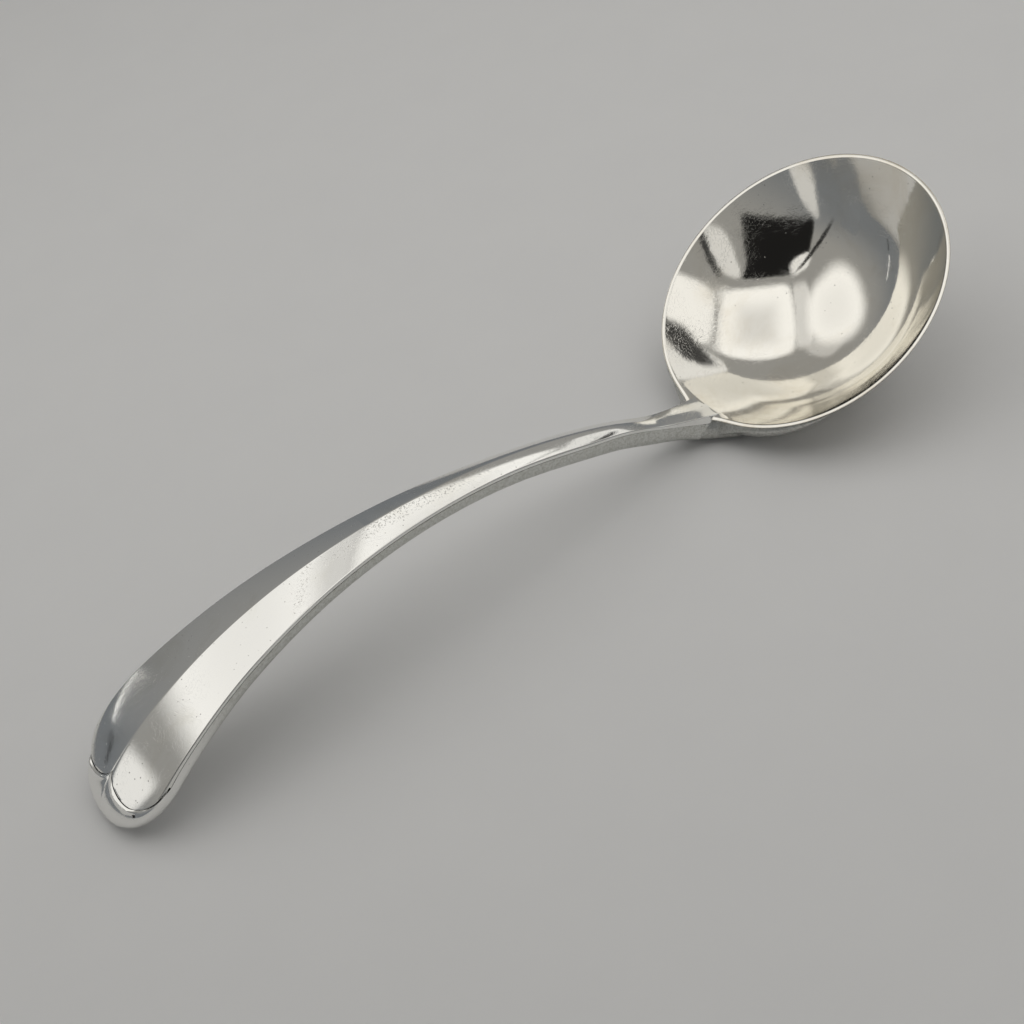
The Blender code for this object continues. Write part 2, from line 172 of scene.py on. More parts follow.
# %% Spin the bowl
BOWL_STEPS = 256
LIP_REACH = 2.4
LIP_SPREAD = math.radians(7.5)
LIP_FADE = 1.3


def pull_lip(co):
    """Moves a point near the neck outward."""
    radius = math.hypot(co.x, co.y)
    if radius < 1.0:
        return co
    turn = math.atan2(co.y, -co.x) / LIP_SPREAD
    fade = max(0.0, 1.0 - max(0.0, -co.z) / LIP_FADE) ** 2
    grow = 1.0 + LIP_REACH * math.exp(-turn * turn) * fade / radius
    return Vector((co.x * grow, co.y * grow, co.z))


def spin_bowl(profile, steps):
    """Turns a half profile round the axis and pulls out the lip."""
    bm = bmesh.new()
    verts = [bm.verts.new((r, 0.0, z)) for r, z in profile]
    edges = [bm.edges.new(pair) for pair in zip(verts[:-1], verts[1:])]
    bmesh.ops.spin(
        bm, geom=verts + edges, axis=(0, 0, 1), cent=(0, 0, 0), steps=steps, angle=math.tau,
        use_merge=True,
    )
    bmesh.ops.remove_doubles(bm, verts=bm.verts, dist=0.001)
    for vert in bm.verts:
        vert.co = pull_lip(vert.co)
    bmesh.ops.recalc_face_normals(bm, faces=bm.faces)
    return bm


inside = bowl_line(-BOWL_SHEET)
outside = bowl_line(0.0)
bm = spin_bowl(inside + outside[::-1], BOWL_STEPS)
print("the spun bowl has", len(bm.faces), "faces")

# %% Round the rim
RIM_ROUND = 0.42


def runs_round(edge):
    """True for an edge of the rim that runs round the bowl, not across the sheet."""
    a, b = (vert.co for vert in edge.verts)
    on_rim = max(abs(a.z), abs(b.z)) < 0.001
    return on_rim and abs(math.atan2(a.y, a.x) - math.atan2(b.y, b.x)) > 0.001


rim_edges = [edge for edge in bm.edges if runs_round(edge)]
bmesh.ops.bevel(
    bm, geom=rim_edges, offset=RIM_ROUND, segments=5, profile=0.5, affect="EDGES", material=-1
)
bowl = new_piece("bowl_shell", bm)
for vert in bowl.data.vertices:
    vert.co.z = max(vert.co.z, 0.0)
settle(bowl, sharp=60.0)

# %% [markdown]
# ## The line of the handle
#
# The handle has a ridge down its middle, and everything else is measured from that ridge: how
# wide the handle is, how far its two facets fall, and how deep the back is below. One cubic
# curve draws the ridge, and a short table gives the section at nine places, read with a smooth
# interpolation. A subdivision cage could follow the same line, but it would pull the
# crisp ridge flat.

# %% Ridge
HANDLE_REACH = 189.2
HANDLE_RISE = 88.5
NECK_ANGLE = math.radians(59.5)
NOSE_ANGLE = math.radians(-17.0)
NECK_PULL = 0.283
NOSE_PULL = 0.392
STEM_OUT = 2.7
STEM_UP = 0.6
span = math.hypot(HANDLE_REACH, HANDLE_RISE)
neck = np.array((RIM_RADIUS + STEM_OUT, STEM_UP))
tip = neck + np.array((HANDLE_REACH, HANDLE_RISE))
near = neck + NECK_PULL * span * np.array((math.cos(NECK_ANGLE), math.sin(NECK_ANGLE)))
far = tip - NOSE_PULL * span * np.array((math.cos(NOSE_ANGLE), math.sin(NOSE_ANGLE)))
t = np.linspace(0.0, 1.0, 1601)[:, None]
RIDGE = (1 - t) ** 3 * neck + 3 * (1 - t) ** 2 * t * near + 3 * (1 - t) * t * t * far + t ** 3 * tip
ARC = np.concatenate(((0.0,), np.cumsum(np.linalg.norm(np.diff(RIDGE, axis=0), axis=1))))
LENGTH = float(ARC[-1])


def on_ridge(s):
    """Point and direction of the ridge at arc length s, straight on beyond its ends."""
    inside = min(max(s, 0.0), LENGTH)
    stops = (max(inside - 0.5, 0.0), inside, min(inside + 0.5, LENGTH))
    low, point, high = (
        np.array([np.interp(stop, ARC, RIDGE[:, k]) for k in (0, 1)]) for stop in stops
    )
    tangent = (high - low) / np.linalg.norm(high - low)
    return point + tangent * (s - inside), tangent


print("the ridge is", round(LENGTH, 1), "mm long")

# %% Sections
HALF_WIDTH, FALL, DEPTH = 1, 2, 3
NECK_DIP = 0.6
NECK_DIP_AT = 17.0
NECK_DIP_SPREAD = 9.0
NECK_FLARE = 0.9
FLARE_LENGTH = 8.0
SECTIONS = np.array((
    # Share of the length, half width, fall of the facets, depth of the back
    (0.000, 5.2, 0.3, 4.6),
    (0.080, 3.6, 0.5, 5.4),
    (0.190, 4.6, 1.7, 4.8),
    (0.315, 5.1, 1.9, 4.4),
    (0.432, 6.9, 2.0, 4.3),
    (0.550, 9.4, 2.3, 4.5),
    (0.730, 14.4, 2.6, 5.0),
    (0.900, 19.2, 2.5, 5.8),
    (1.000, 19.4, 2.3, 5.8),
))
SLOPES = [np.gradient(SECTIONS[:, k], SECTIONS[:, 0] * LENGTH) for k in range(4)]


def section(s, column):
    """One size of the section at s: half width, fall of the facets or depth of the back."""
    x = SECTIONS[:, 0] * LENGTH
    y = SECTIONS[:, column]
    at = min(max(s, 0.0), LENGTH)
    i = int(min(np.searchsorted(x, at, side="right") - 1, len(x) - 2))
    h = x[i + 1] - x[i]
    k = (at - x[i]) / h
    level = y[i] * (1 + 2 * k) * (1 - k) ** 2 + y[i + 1] * k * k * (3 - 2 * k)
    level += h * (SLOPES[column][i] * k * (1 - k) ** 2 - SLOPES[column][i + 1] * k * k * (1 - k))
    flare = NECK_FLARE * max(1.0 - at / FLARE_LENGTH, 0.0) ** 2 if column == HALF_WIDTH else 0.0
    return float(level + flare)


def place(s, y, z):
    """A point along the ridge, across it and square to it, in the bowl's frame."""
    point, tangent = on_ridge(s)
    z -= NECK_DIP * math.exp(-(((s - NECK_DIP_AT) / NECK_DIP_SPREAD) ** 2))
    return Vector((-(point[0] - z * tangent[1]), y, point[1] + z * tangent[0]))


print("the handle is", round(2.0 * section(0.9 * LENGTH, HALF_WIDTH), 1), "mm wide near its end")

# %% [markdown]
# ## Where the stem meets the bowl
#
# The bowl is soldered on and filed over, so the stem's face runs on into the bowl with no step.
# A Boolean and a bevel could join the two, but a bevel over such a flat crossing comes out
# ragged. Instead, the stem's end is drawn to where it belongs: over the lip and a little
# way down the bowl's wall, at the wall's own slope. The pull is full at the neck and fades out
# along the stem.

# %% Meeting the lip
NECK_BLEND = 16.0
LAP = 3.2
LAP_DROP = 1.25
MIDDLE_LAP = 1.97
MIDDLE_DROP = 0.34
MIDDLE_SPREAD = 4.5
BELOW_LIP = Vector((0.02, 0.0, -0.12))


def lip_edge(y):
    """The point on the lip's outer edge at this distance from the middle line."""
    turn = y / RIM_RADIUS
    for _ in range(6):
        edge = pull_lip(Vector((-RIM_RADIUS * math.cos(turn), RIM_RADIUS * math.sin(turn), 0.0)))
        turn += (y - edge.y) / RIM_RADIUS
    return edge


def onto_lip(y):
    """How far the front's end lies over the lip and down the wall: most in the middle."""
    middle = math.exp(-((y / MIDDLE_SPREAD) ** 2))
    return Vector((LAP + MIDDLE_LAP * middle, 0.0, -LAP_DROP - MIDDLE_DROP * middle))


def neck_lift(s, y, onto):
    """How far the stem's face moves to meet the lip: all the way at the neck, less beyond."""
    rise = min(max(1.0 - s / NECK_BLEND, 0.0), 1.0) ** 2
    if rise == 0.0:
        return Vector((0.0, 0.0, 0.0))
    u = min(abs(y) / section(0.0, HALF_WIDTH), 1.0)
    return rise * (lip_edge(y) + onto - place(0.0, y, front_top(0.0, u)))


print("the lip stands out", round(-lip_edge(0.0).x - RIM_RADIUS, 1), "mm")

# %% [markdown]
# ## The front of the handle
#
# The front is a struck sheet: two plane facets that meet in the ridge, and two round lobes at
# the end. Its surface is one formula of the place along and across, so a flat grid is the
# right start: bmesh makes the grid, and each of its points is moved to its place. The columns
# crowd together at the ridge and at the edge, where the surface turns fastest, and the last
# few turn down into a narrow flange that stands on the back. Solidify adds the sheet, and a
# small bevel breaks its edge, which then carries the thin bright line that a worn edge has.

# %% Lobes
NOSE_DEPTH = 9.6
LOBE_LENGTH = 12.8
CLEFT_DEPTH = 5.0
LOBE_CREST = 0.44
LOBE_ROLL = 0.7
END_ROUND = 2.2
LOBE_BLEND = 38.0
LOBE_START = LENGTH - LOBE_BLEND
LOBE_TIP = LENGTH - NOSE_DEPTH
SHOULDER = LOBE_TIP - LOBE_LENGTH


def lobe_end(u):
    """Where the strip at the fraction u of the half width ends: round lobes and a cleft."""
    if u >= LOBE_CREST:
        out = (u - LOBE_CREST) / (1.0 - LOBE_CREST)
        return SHOULDER + LOBE_LENGTH * max(0.0, 1.0 - out ** END_ROUND) ** (1.0 / END_ROUND)
    inward = 1.0 - u / LOBE_CREST
    return LOBE_TIP - CLEFT_DEPTH * (1.0 - math.sqrt(max(0.0, 1.0 - inward * inward)))


def lobe_drop(s, u):
    """How far the surface has rolled down towards the end of the lobe."""
    along = min(max((s - LOBE_START) / max(lobe_end(u) - LOBE_START, 1.0), 0.0), 1.0)
    return LOBE_ROLL * along ** 3


print("each lobe is", LOBE_LENGTH, "mm long")

# %% Front's surface
EDGE_ROLL = 0.3
RIDGE_ROUND = 0.15
STEM_CROWN = 0.6
CROWN_LOSS = 0.5
CROWN_UNTIL = 0.26
CROWN_FADE = 0.26


def crown(s):
    """How far the facets are rounded across: well rounded on the stem, nearly plane beyond."""
    k = min(max((s / LENGTH - CROWN_UNTIL) / CROWN_FADE, 0.0), 1.0)
    return STEM_CROWN - CROWN_LOSS * k * k * (3.0 - 2.0 * k)


def front_top(s, u):
    """Height of the front's surface against the ridge."""
    width = section(s, HALF_WIDTH)
    across = (math.hypot(u * width, RIDGE_ROUND) - RIDGE_ROUND) / width
    across = across * (1.0 - crown(s)) + across * across * crown(s)
    inward = max(EDGE_ROLL - (1.0 - u) * width, 0.0)
    roll = EDGE_ROLL - math.sqrt(max(EDGE_ROLL ** 2 - inward ** 2, 0.0))
    return -section(s, FALL) * across - roll - lobe_drop(s, u)


fall = -front_top(0.55 * LENGTH, 1.0)
print("half way along, the edge lies", round(fall, 1), "mm below the ridge")

# %% Handle front
FRONT_SHEET = 0.45
FRONT_EDGE = 0.10
FLANGE = 0.6
FACE_PART = 0.94
FLANGE_PART = 0.06
STEM_ROWS = 0.75
STEM_CROWDING = 1.4


def add_solidify(piece, thickness, even=True):
    """Gives an open skin its sheet thickness, on the inner side."""
    sheet = piece.modifiers.new("sheet", "SOLIDIFY")
    sheet.thickness = thickness * MM
    sheet.offset = -1.0
    sheet.use_even_offset = even


def add_bevel(piece, width, segments=2, angle=50.0):
    """Breaks the sharp edges."""
    soft = piece.modifiers.new("soft edges", "BEVEL")
    soft.width = width * MM
    soft.segments = segments
    soft.limit_method = "ANGLE"
    soft.angle_limit = math.radians(angle)


def make_front():
    """A grid whose last columns turn down into a narrow flange."""
    bm = bmesh.new()
    bmesh.ops.create_grid(bm, x_segments=76, y_segments=200, size=1.0)
    for vert in bm.verts:
        t = min(abs(vert.co.x) / FACE_PART, 1.0)
        u = 0.5 * (1.0 - math.cos(math.pi * t))
        flange = FLANGE * max(abs(vert.co.x) - FACE_PART, 0.0) / FLANGE_PART
        v = 0.5 * (vert.co.y + 1.0)
        if v < STEM_ROWS:
            s = LOBE_START * (v / STEM_ROWS) ** STEM_CROWDING
        else:
            onward = min((v - STEM_ROWS) / (1.0 - STEM_ROWS), 1.0)
            s = LOBE_START + (lobe_end(u) - LOBE_START) * onward
        y = math.copysign(u * section(s, HALF_WIDTH), vert.co.x)
        onto = onto_lip(y).lerp(BELOW_LIP, flange / FLANGE)
        vert.co = place(s, y, front_top(s, u) - flange) + neck_lift(s, y, onto)
    bm.normal_update()
    if sum(face.normal.z for face in bm.faces) < 0.0:
        bmesh.ops.reverse_faces(bm, faces=bm.faces)
    return bm


front = new_piece("handle_front_panel", make_front())
add_solidify(front, FRONT_SHEET)
add_bevel(front, FRONT_EDGE)
settle(front)

# %% [markdown]
# ## The back of the handle
#
# The back is the other struck half: a trough with upright side walls, which rounds up at the
# end into a nose. The nose wraps the two lobes with a soft, raised lip, and the seam between
# the halves stays open as a fine dark line, as it does on the real handle. The same method
# works here, a grid moved to its place, with one half of each row on each side. At the nose
# the two halves of the last row meet on the middle line and are merged. A pin-sized vent
# beside one lobe let the hot air out when the halves were soldered. It is drilled with a
# Boolean, because a round hole would break the even rows of the grid.

# %% Levels of the back
FIT_GAP = 0.14
WALL_SHARE = 0.25
SEAM_SHUT = 40.0
SEAM_FADE = 60.0
SEAM_LEAST = 0.15
KEEL_BELOW = 1.45


def seam_level(s):
    """Depth of the back's upper edge below the ridge, along the sides."""
    open_seam = min(max((s - SEAM_SHUT) / SEAM_FADE, SEAM_LEAST), 1.0)
    level = section(s, FALL) + EDGE_ROLL + FLANGE + FIT_GAP * open_seam
    return level + lobe_drop(min(s, SHOULDER), 1.0)


def keel_level(s):
    """Height of the back's keel."""
    return -section(s, FALL) - KEEL_BELOW - section(s, DEPTH)


def wide_level(s):
    """Height of the back's widest line."""
    return -seam_level(s) - WALL_SHARE * section(s, DEPTH)


print("at its end the back is", round(wide_level(LENGTH) - keel_level(LENGTH), 1), "mm deep")

# %% Back's edge and nose
LOBE_GAP = 0.28
LAND_LOW = 0.80
LAND_HIGH = 0.58
SIDE_PART = 0.72
SIDE_CROWDING = 1.3
CLEFT_BEAD = 0.2
CLEFT_FADE = 0.3


def nose_end(u):
    """Widest outline of the nose at the fraction u of the half width."""
    return SHOULDER + (LENGTH - SHOULDER) * max(0.0, 1.0 - u ** END_ROUND) ** (1.0 / END_ROUND)


def back_strip(v):
    """Edge and widest point of row v as (s, y, z), its keel's s and how far it wraps up."""
    if v <= SIDE_PART:
        s = SHOULDER * (v / SIDE_PART) ** SIDE_CROWDING
        width = section(s, HALF_WIDTH)
        return (s, width, -seam_level(s)), (s, width, wide_level(s)), s, 0.0
    k = min((v - SIDE_PART) / (1.0 - SIDE_PART), 1.0)
    u = 0.5 * (1.0 + math.cos(math.pi * k))
    raised = min(max((LAND_LOW - u) / (LAND_LOW - LAND_HIGH), 0.0), 1.0)
    raised = raised * raised * (3.0 - 2.0 * raised)
    s_edge = lobe_end(u)
    z_edge = front_top(s_edge, u) - (FLANGE + FIT_GAP) * (1.0 - raised)
    s_edge += LOBE_GAP * raised
    s_wide = nose_end(u)
    edge = (s_edge, u * section(s_edge, HALF_WIDTH), z_edge)
    wide = (s_wide, u * section(s_wide, HALF_WIDTH), wide_level(SHOULDER))
    wrap = raised * (CLEFT_BEAD + (1.0 - CLEFT_BEAD) * min(u / CLEFT_FADE, 1.0))
    return edge, wide, SHOULDER, wrap


print("the nose is", NOSE_DEPTH, "mm deep")

# %% Back's surface
BACK_ROUND = 3.0
WALL_PART = 0.3
BEAD = 0.55
BEAD_AWAY = 0.75
BEAD_SPREAD = 0.6
EDGE_CROWDING = 1.5


def back_point(v, w):
    """Point of the back on row v, at w from its upper edge, 0, to its keel, 1."""
    edge, wide, s_keel, raised = back_strip(v)
    if w <= WALL_PART:
        phi = 0.5 * math.pi * w / WALL_PART
        reach = math.sin(phi)
        s = edge[0] + (wide[0] - edge[0]) * reach
        y = edge[1] + (wide[1] - edge[1]) * reach
        away = reach * math.hypot(wide[0] - edge[0], wide[1] - edge[1])
        bead = BEAD * raised * math.exp(-(((away - BEAD_AWAY) / BEAD_SPREAD) ** 2))
        return s, y, wide[2] + (edge[2] - wide[2]) * math.cos(phi) + bead
    psi = 0.5 * math.pi * (w - WALL_PART) / (1.0 - WALL_PART)
    left = max(math.cos(psi), 0.0) ** (2.0 / BACK_ROUND)
    left = 0.0 if w > 0.9999 else left
    down = math.sin(psi) ** (2.0 / BACK_ROUND)
    z = wide[2] + (keel_level(s_keel) - wide[2]) * down
    return s_keel + (wide[0] - s_keel) * left, wide[1] * left, z


def make_back():
    """A grid with its columns crowded at the edge, where the bead is."""
    bm = bmesh.new()
    bmesh.ops.create_grid(bm, x_segments=96, y_segments=220, size=1.0)
    for vert in bm.verts:
        w = (1.0 - min(abs(vert.co.x), 1.0)) ** EDGE_CROWDING
        s, y, z = back_point(0.5 * (vert.co.y + 1.0), w)
        y = math.copysign(y, vert.co.x)
        vert.co = place(s, y, z) + neck_lift(s, y, BELOW_LIP) * max(1.0 - w / 0.7, 0.0) ** 2
    bmesh.ops.remove_doubles(bm, verts=bm.verts, dist=0.001)
    bmesh.ops.recalc_face_normals(bm, faces=bm.faces)
    if sum(face.normal.z * face.calc_area() for face in bm.faces) > 0.0:
        bmesh.ops.reverse_faces(bm, faces=bm.faces)
    return bm


print("a bead", BEAD, "mm high runs round the lobes")

# %% Handle back
HANDLE_SHEET = 0.8
BACK_EDGE = 0.05
VENT_RADIUS = 0.45
VENT_ACROSS = 0.70
VENT_ALONG = 0.32


def add_boolean(piece, other, operation):
    """Joins or cuts with another piece."""
    cut = piece.modifiers.new(operation, "BOOLEAN")
    cut.operation = operation
    cut.solver = "EXACT"
    cut.object = other


def make_vent():
    """A thin rod, square to the nose beside the right lobe."""
    u = VENT_ACROSS
    s = lobe_end(u) + VENT_ALONG * (nose_end(u) - lobe_end(u))
    across = -u * section(s, HALF_WIDTH)
    low = place(s - 3.0, across, front_top(lobe_end(u), u) - 5.0)
    high = place(s + 2.0, across * 1.03, front_top(lobe_end(u), u) + 2.0)
    turned = (high - low).to_track_quat("Z", "Y").to_matrix().to_4x4()
    bm = bmesh.new()
    bmesh.ops.create_cone(
        bm, cap_ends=True, segments=24, radius1=VENT_RADIUS, radius2=VENT_RADIUS,
        depth=(high - low).length, matrix=Matrix.Translation((low + high) / 2) @ turned,
    )
    return bm


back = new_piece("handle_back_trough", make_back())
add_solidify(back, HANDLE_SHEET, even=False)
add_bevel(back, BACK_EDGE)
vent = new_piece("vent_drill", make_vent())
add_boolean(back, vent, "DIFFERENCE")
settle(back)
bpy.data.objects.remove(vent)
for vert in back.data.vertices:
    vert.co.z = max(vert.co.z, 0.0)

# %% [markdown]
# ## The heel
#
# The heel is forged: a pad that lies against the bowl's outside under the rim, swells into a
# root below the stem, and sends a tang up into the hollow handle. Such a soft union is hard to
# draw as one grid. Here the pad and the root are two plain solids. A Boolean joins them, small
# voxels make one skin of them, and smoothing leaves the even fillet that a file and a buff
# leave on the real one. Then the heel is fitted: cut square where the handle begins, hollowed
# by the bowl with a hair's gap, and given its tang.

# %% Heel's pad
HEEL_SPAN = 54.0
HEEL_DROP = 15.5
HEEL_END_DROP = 6.0
HEEL_THICK = 6.25
HEEL_SIDE_THICK = 4.6
HEEL_TOP = 0.8
HEEL_NECK_SPREAD = 16.5
HEEL_GAP = 0.16
HEEL_EDGE = 0.4
HEEL_TOP_SHARE = 0.3
HEEL_SWELL_PART = 0.4
PAD_INWARD = 0.5


def heel_reach(turn):
    """How far the pad comes down the bowl at an angle from the stem, as arc length."""
    near_stem = math.cos(0.5 * math.pi * abs(turn) / HEEL_SPAN) ** 2
    return HEEL_END_DROP + (HEEL_DROP - HEEL_END_DROP) * near_stem


def heel_thickness(turn, down):
    """Thickness of the pad at an angle from the stem and a fraction of the way down."""
    share = abs(turn) / HEEL_SPAN
    side = HEEL_SIDE_THICK * (1.0 - share * share)
    neck_part = HEEL_THICK * math.exp(-((turn / HEEL_NECK_SPREAD) ** 2))
    full = math.sin(0.5 * math.pi * min(down / HEEL_SWELL_PART, 1.0))
    swell = HEEL_TOP_SHARE + (1.0 - HEEL_TOP_SHARE) * full
    return HEEL_EDGE + max(side * swell, neck_part) * (1.0 - down * down)


def make_pad():
    """A grid with a second layer behind it, both laid round the bowl."""
    bm = bmesh.new()
    bmesh.ops.create_grid(bm, x_segments=72, y_segments=20, size=1.0)
    layer = bmesh.ops.extrude_face_region(bm, geom=bm.faces[:])
    behind = {v for v in layer["geom"] if isinstance(v, bmesh.types.BMVert)}
    for vert in bm.verts:
        turn = HEEL_SPAN * vert.co.x
        down = 0.5 * (vert.co.y + 1.0)
        length = HEEL_TOP + (heel_reach(turn) - HEEL_TOP) * down
        wall = WALL_RADIUS * (WALL_END - FLOOR_ANGLE)
        if length <= wall:
            slope = WALL_END - length / WALL_RADIUS
        else:
            slope = FLOOR_ANGLE - (length - wall) / FLOOR_RADIUS
        offset = -PAD_INWARD if vert in behind else HEEL_GAP + heel_thickness(turn, down)
        r, z = bowl_point(slope, offset)
        vert.co = Vector((-r * math.cos(math.radians(turn)), r * math.sin(math.radians(turn)), z))
    bmesh.ops.recalc_face_normals(bm, faces=bm.faces)
    return bm


print("the pad comes down", HEEL_DROP, "mm at the stem")

# %% Root and tang
ROOT_LENGTH = 9.0
ROOT_WIDEN = 0.225
ROOT_FLARE = 0.08
ROOT_END_DEPTH = 1.6
ROOT_TUCK = 0.3
TANG_LENGTH = 31.6


def make_stem(start, end, inset, taper, drop, thin_out):
    """A closed length of the stem, drawn in by inset and lowered on top, as a moved cylinder."""
    bm = bmesh.new()
    bmesh.ops.create_cone(bm, cap_ends=True, segments=40, radius1=1.0, radius2=1.0, depth=2.0)
    sides = [e for e in bm.edges if abs(e.verts[0].co.z - e.verts[1].co.z) > 1.0]
    bmesh.ops.subdivide_edges(bm, edges=sides, cuts=12, use_grid_fill=True)
    for vert in bm.verts:
        k = 0.5 * (vert.co.z + 1.0)
        s = start + (end - start) * k
        shrink = 1.0 + (taper - 1.0) * k
        angle = math.atan2(vert.co.y, vert.co.x)
        past = max(-s, 0.0) if thin_out else 0.0
        width = section(s, HALF_WIDTH) - inset + ROOT_WIDEN * past + ROOT_FLARE * past ** 2
        fall = section(s, FALL) + EDGE_ROLL
        full = -keel_level(s) - inset
        back = min(max(-s / ROOT_LENGTH, 0.0), 1.0)
        depth = full + (ROOT_END_DEPTH - full) * back ** 2 if thin_out else full
        down = 0.0
        if angle >= 0.0:
            y = width * math.cos(angle)
            z = -inset - drop - fall * abs(math.cos(angle))
        else:
            down = abs(math.sin(angle)) ** (2.0 / BACK_ROUND)
            y = width * math.copysign(abs(math.cos(angle)) ** (2.0 / BACK_ROUND), math.cos(angle))
            z = -inset - drop - fall - (depth - fall - drop) * down
        middle = -0.5 * depth
        vert.co = place(s, y * shrink, middle + (z - middle) * shrink)
        if thin_out:
            tuck = ROOT_TUCK * (1.0 - down) ** 4
            vert.co.y -= math.copysign(min(tuck, abs(vert.co.y)), vert.co.y)
            level = Vector((0.0, 0.0, past * math.sin(NECK_ANGLE)))
            vert.co += (neck_lift(s, y, BELOW_LIP) + level) * (1.0 - down) ** 2
    bmesh.ops.recalc_face_normals(bm, faces=bm.faces)
    return bm


print("the tang is", TANG_LENGTH, "mm long")

# %% Join and buff
HEEL_VOXEL = 0.28

heel = new_piece("heel_forging", make_pad())
root_form = make_stem(
    start=-ROOT_LENGTH, end=3.0, inset=-0.1, taper=1.0, drop=FLANGE - 0.35, thin_out=True
)
root = new_piece("root_stub", root_form)
add_boolean(heel, root, "UNION")
voxels = heel.modifiers.new("voxels", "REMESH")
voxels.mode = "VOXEL"
voxels.voxel_size = HEEL_VOXEL * MM
smooth = heel.modifiers.new("buff", "SMOOTH")
smooth.factor = 0.5
smooth.iterations = 24
settle(heel, sharp=70.0)
bpy.data.objects.remove(root)

# %% Fit the heel
STEM_GAP = 0.05
TANG_GAP = 0.42
CUTTER_TOP = 28.0


def make_clearance():
    """The bowl's outside, swollen by the gap and closed above, as a cutter."""
    line = bowl_line(0.0)
    edge = line[-1][0]
    bm = spin_bowl(line + [(edge, CUTTER_TOP), (0.0, CUTTER_TOP)], BOWL_STEPS)
    bm.normal_update()
    for vert in bm.verts:
        vert.co += vert.normal * HEEL_GAP
    return bm


def cut_square(piece, s):
    """Cuts the piece square across the stem at s and closes the cut."""
    bm = bmesh.new()
    bm.from_mesh(piece.data)
    start = LAY_DOWN @ place(s, 0.0, 0.0)
    ahead_on_stem = LAY_DOWN @ place(s + 1.0, 0.0, 0.0) - start
    geometry = bm.verts[:] + bm.edges[:] + bm.faces[:]
    cut = bmesh.ops.bisect_plane(
        bm, geom=geometry, plane_co=start, plane_no=ahead_on_stem, clear_outer=True
    )
    edges = [part for part in cut["geom_cut"] if isinstance(part, bmesh.types.BMEdge)]
    bmesh.ops.triangle_fill(bm, edges=edges, use_beauty=True)
    bmesh.ops.recalc_face_normals(bm, faces=bm.faces)
    bm.to_mesh(piece.data)
    bm.free()


cut_square(heel, -STEM_GAP)
clearance = new_piece("bowl_clearance", make_clearance())
tang_form = make_stem(
    start=-2.2, end=TANG_LENGTH, inset=HANDLE_SHEET + TANG_GAP, taper=0.72, drop=0.0,
    thin_out=False,
)
tang = new_piece("tang_stub", tang_form)
add_boolean(heel, clearance, "DIFFERENCE")
add_boolean(heel, tang, "UNION")
settle(heel, sharp=50.0)
for cutter in (clearance, tang):
    bpy.data.objects.remove(cutter)

# %% [markdown]
# ## The finish
#
# Old silver plate is bright, a little warm, and never even: a thin film of tarnish in soft
# clouds, hairline scratches from years of wiping, small dark pits, and scuffs beside the ridge.
# These four effects could be painted, but a painted skin shows its pixels in a close view. So
# each is a node group that works from the place on the ladle, and every material mixes them in
# its own measure. They only change colour, roughness and the bump.

# %% Node helpers
def new_group(name, inputs, outputs):
    """An empty shader group with float inputs and outputs."""
    group = bpy.data.node_groups.new(name, "ShaderNodeTree")
    for label, value in inputs.items():
        socket = group.interface.new_socket(label, in_out="INPUT", socket_type="NodeSocketFloat")
        socket.default_value = value
    for label in outputs:
        group.interface.new_socket(label, in_out="OUTPUT", socket_type="NodeSocketFloat")
    nodes = group.nodes
    return group, nodes, nodes.new("NodeGroupInput"), nodes.new("NodeGroupOutput")


def add(nodes, kind, **values):
    """A node with some of its properties and inputs set."""
    node = nodes.new(kind)
    for key, value in values.items():
        if key in node.inputs:
            node.inputs[key].default_value = value
        else:
            setattr(node, key, value)
    return node


print("node helpers ready")

# %% [markdown]
# ### Tarnish
#
# Tarnish starts where the cloth has missed, so its edge is soft and uneven. It could be drawn
# with a brush, but a noise with several octaves gives clouds of that kind for nothing. Start
# and End say how much of them is kept.

# %% Tarnish clouds
tarnish_group, nodes, given, result = new_group(
    "tarnish clouds", {"Scale": 60.0, "Start": 0.45, "End": 0.75}, ["Cloud"]
)
links = tarnish_group.links
where = nodes.new("ShaderNodeTexCoord")
cloud = add(nodes, "ShaderNodeTexNoise", Detail=6.0, Roughness=0.62, Distortion=0.6)
spread = nodes.new("ShaderNodeMapRange")
spread.interpolation_type = "SMOOTHSTEP"
links.new(where.outputs["Object"], cloud.inputs["Vector"])
links.new(given.outputs["Scale"], cloud.inputs["Scale"])
links.new(cloud.outputs["Fac"], spread.inputs["Value"])
links.new(given.outputs["Start"], spread.inputs["From Min"])
links.new(given.outputs["End"], spread.inputs["From Max"])
links.new(spread.outputs["Result"], result.inputs["Cloud"])
print("made", tarnish_group.name)

# %% [markdown]
# ### Scratches
#
# A hairline is long and thin, and straight for a short way. Single lines could be modelled,
# but a noise that is drawn out along one direction has such lines wherever it crosses its
# middle value. Three directions are laid over each other, each only in patches, because wiping
# never covers a piece evenly.

# %% Sums and ramps
def maths(nodes, links, operation, first, second=None, third=None):
    """A Math node between sockets or numbers."""
    node = nodes.new("ShaderNodeMath")
    node.operation = operation
    for socket, value in zip(node.inputs, (first, second, third)):
        if value is None:
            continue
        if isinstance(value, (int, float)):
            socket.default_value = value
        else:
            links.new(value, socket)
    return node.outputs[0]


def ramp(nodes, links, source, low, high, smooth=True):
    """Maps a value from low..high to 0..1."""
    node = nodes.new("ShaderNodeMapRange")
    node.interpolation_type = "SMOOTHSTEP" if smooth else "LINEAR"
    node.inputs["From Min"].default_value = low
    node.inputs["From Max"].default_value = high
    links.new(source, node.inputs["Value"])
    return node.outputs["Result"]


print("sums and ramps ready")

